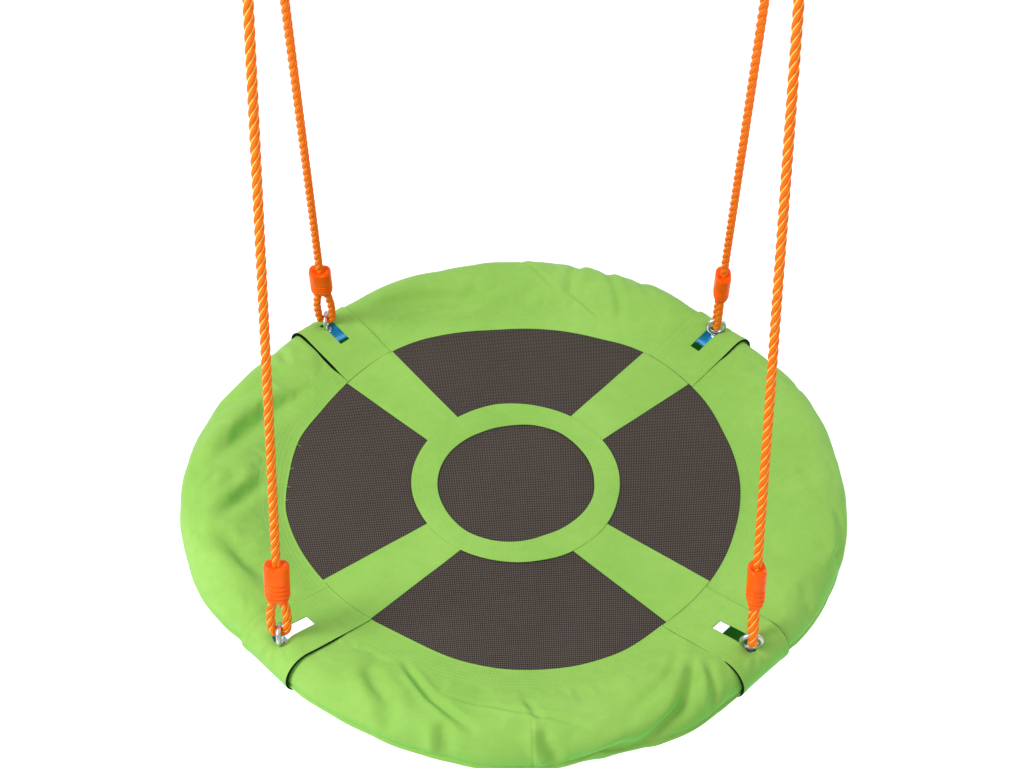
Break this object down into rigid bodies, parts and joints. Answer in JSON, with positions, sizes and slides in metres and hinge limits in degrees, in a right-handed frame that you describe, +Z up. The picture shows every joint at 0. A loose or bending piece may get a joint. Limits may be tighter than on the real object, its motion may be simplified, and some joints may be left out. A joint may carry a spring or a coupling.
{
  "type": "saucer nest swing",
  "caption": "Round nest swing: a padded tube ring with a mesh seat and cloth cover, hung by ropes from hanging rings and spring hooks.",
  "frame": {"origin": "midway between the two spring hooks, level with the inside of their top bows, where the supports bear", "axes": "+Z up; +X from the left hook to the right hook; the seat hangs below, and the front faces -Y"},
  "size_m": [0.985, 0.985, 1.4623],
  "materials": {
    "cover": "coated polyester cloth, matt, bright green",
    "mesh": "woven textilene mesh, dark brown-grey",
    "rope": "twisted three-strand polypropylene rope, orange with a yellow tracer",
    "clamp": "moulded plastic, satin, orange",
    "zinc": "zinc-plated steel, bright",
    "paint": "powder-coated steel tube, gloss blue",
    "foam": "closed-cell foam pipe, matt grey"
  },
  "bodies": {
    "root": {"left_hook_body": "zinc", "left_gate_pin": "zinc", "right_hook_body": "zinc", "right_gate_pin": "zinc"},
    "left_gate": {"left_hook_gate": "zinc"},
    "left_ring": {"left_hanging_ring": "zinc"},
    "left_ropes": {"left_front_rope": "rope", "left_front_lower_clamp": "clamp", "left_front_upper_clamp": "clamp", "left_rear_rope": "rope", "left_rear_lower_clamp": "clamp", "left_rear_upper_clamp": "clamp"},
    "right_gate": {"right_hook_gate": "zinc"},
    "right_ring": {"right_hanging_ring": "zinc"},
    "right_ropes": {"right_front_rope": "rope", "right_front_lower_clamp": "clamp", "right_front_upper_clamp": "clamp", "right_rear_rope": "rope", "right_rear_lower_clamp": "clamp", "right_rear_upper_clamp": "clamp"},
    "seat": {"right_frame_tube": "paint", "right_foam_sleeve": "foam", "right_border_sleeve": "cover", "rear_frame_tube": "paint", "rear_foam_sleeve": "foam", "rear_border_sleeve": "cover", "left_frame_tube": "paint", "left_foam_sleeve": "foam", "left_border_sleeve": "cover", "front_frame_tube": "paint", "front_foam_sleeve": "foam", "front_border_sleeve": "cover", "mesh_panel": "mesh", "centre_band": "cover", "left_front_corner_patch": "cover", "left_front_spoke_band": "cover", "left_front_eyebolt": "zinc", "left_front_washer": "zinc", "left_front_lock_nut": "zinc", "left_rear_corner_patch": "cover", "left_rear_spoke_band": "cover", "left_rear_eyebolt": "zinc", "left_rear_washer": "zinc", "left_rear_lock_nut": "zinc", "right_front_corner_patch": "cover", "right_front_spoke_band": "cover", "right_front_eyebolt": "zinc", "right_front_washer": "zinc", "right_front_lock_nut": "zinc", "right_rear_corner_patch": "cover", "right_rear_spoke_band": "cover", "right_rear_eyebolt": "zinc", "right_rear_washer": "zinc", "right_rear_lock_nut": "zinc"}
  },
  "joints": [
    {"name": "swing", "type": "hinge", "parent": "root", "child": "left_ring", "pos_m": [-0.29, 0, -0.068], "axis": [1, 0, 0], "range_deg": [-50, 50]},
    {"name": "sway", "type": "hinge", "parent": "left_ring", "child": "left_ropes", "pos_m": [-0.29, 0, -0.13347], "axis": [0, 1, 0], "range_deg": [-10, 10]},
    {"name": "left_eye_turn", "type": "hinge", "parent": "left_ropes", "child": "seat", "pos_m": [-0.32, 0, -1.366], "axis": [0, 1, 0], "range_deg": [-10, 10]},
    {"name": "right_eye_turn", "type": "hinge", "parent": "seat", "child": "right_ropes", "pos_m": [0.32, 0, -1.3791], "axis": [0, 1, 0], "range_deg": [-10, 10]},
    {"name": "right_ring_turn", "type": "hinge", "parent": "right_ropes", "child": "right_ring", "pos_m": [0.29, 0, -0.13347], "axis": [0, 1, 0], "range_deg": [-10, 10]},
    {"name": "left_gate_open", "type": "hinge", "parent": "root", "child": "left_gate", "pos_m": [-0.306, 0, -0.0425], "axis": [0, 1, 0], "range_deg": [0, 25], "stiffness_Nm_per_rad": 0.06, "springref_deg": -8.59},
    {"name": "right_gate_open", "type": "hinge", "parent": "root", "child": "right_gate", "pos_m": [0.306, 0, -0.0425], "axis": [0, -1, 0], "range_deg": [0, 25], "stiffness_Nm_per_rad": 0.06, "springref_deg": -8.59}
  ],
  "couplings": [
    {"joint": "left_eye_turn", "follows": "sway", "ratio": -0.90625},
    {"joint": "right_eye_turn", "follows": "sway", "ratio": 0.90625},
    {"joint": "right_ring_turn", "follows": "sway", "ratio": -1}
  ]
}
